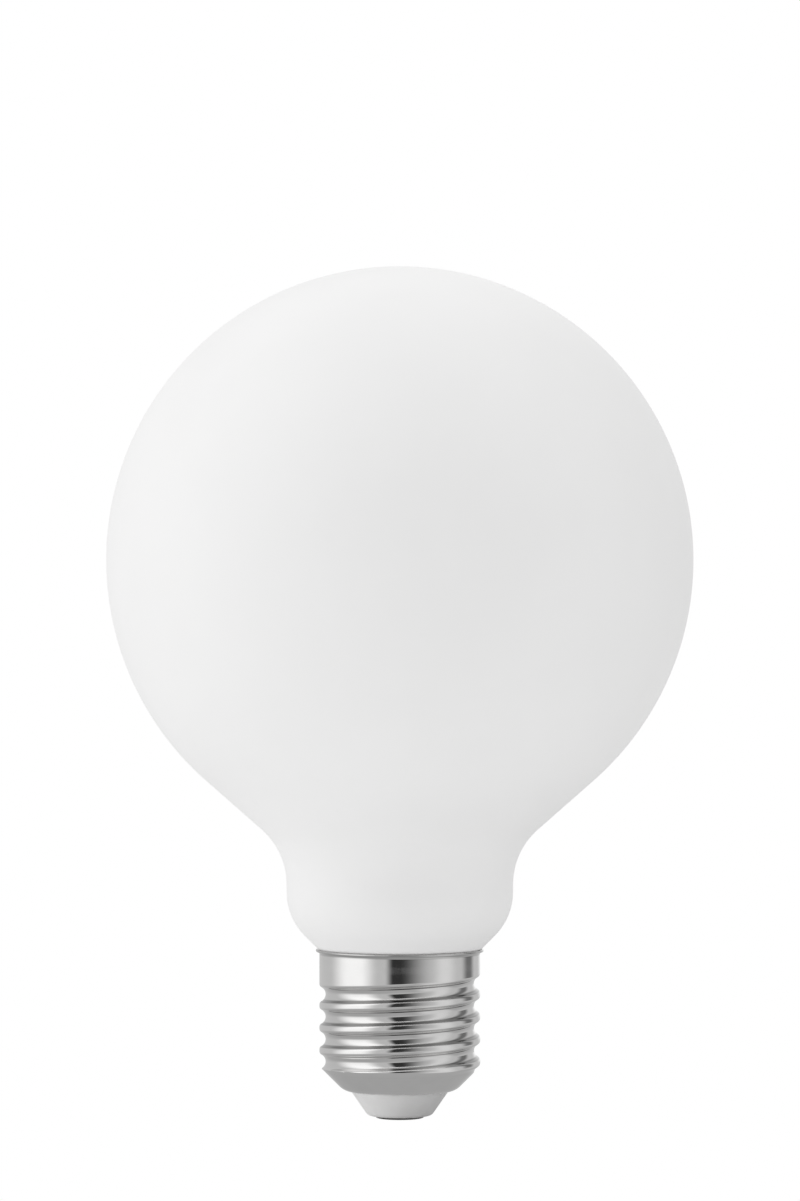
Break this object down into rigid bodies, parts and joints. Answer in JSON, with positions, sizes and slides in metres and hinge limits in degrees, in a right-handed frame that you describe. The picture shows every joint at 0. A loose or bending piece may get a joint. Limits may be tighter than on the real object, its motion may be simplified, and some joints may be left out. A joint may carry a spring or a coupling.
{
  "type": "light bulb",
  "caption": "Large opal glass globe bulb with a short neck, a rolled metal screw cap, a white insulating nose and a centre contact.",
  "frame": {"origin": "centre of the centre contact's lower face", "axes": "+Z along the bulb's axis from the cap to the globe; the thread's groove begins to run out 20 degrees from +X"},
  "size_m": [0.095, 0.095, 0.1378],
  "materials": {
    "opal_glass": "smooth opal white, opaque",
    "plated_metal": "bright plated sheet",
    "white_plastic": "moulded, semi-gloss",
    "contact_metal": "plated, worn smooth"
  },
  "bodies": {
    "root": {"glass_globe": "opal_glass", "screw_shell": "plated_metal", "insulator": "white_plastic", "centre_contact": "contact_metal"}
  },
  "joints": []
}
